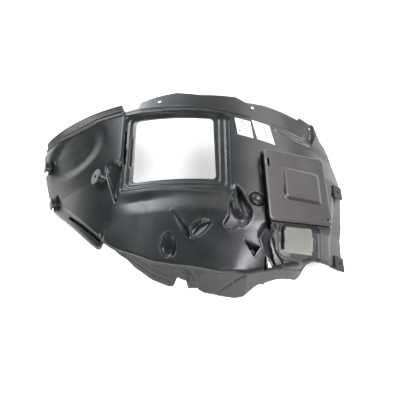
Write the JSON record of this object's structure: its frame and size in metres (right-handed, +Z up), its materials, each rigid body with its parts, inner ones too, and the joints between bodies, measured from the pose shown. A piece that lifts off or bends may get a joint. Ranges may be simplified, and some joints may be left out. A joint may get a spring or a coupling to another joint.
{
  "type": "wheel arch liner",
  "caption": "Front wheel arch liner section: arched moulded shell with window openings, sunk pockets, wing flange, a clipped service cover and two plain stickers.",
  "frame": {"origin": "middle of the part's outline at the level the two ends stand on", "axes": "+X round the arch towards the end with the service cover, +Y towards the wing edge, +Z up out of the convex face"},
  "size_m": [0.6658, 0.4508, 0.164],
  "materials": {
    "liner_plastic": "semi-gloss charcoal, fine moulded grain with scuffs",
    "cover_plastic": "satin charcoal, fine grain",
    "sticker_paper": "white paper, pale grey field marks"
  },
  "bodies": {
    "root": {"liner_panel": "liner_plastic", "service_cover": "cover_plastic", "sticker_a": "sticker_paper", "sticker_b": "sticker_paper"}
  },
  "joints": []
}
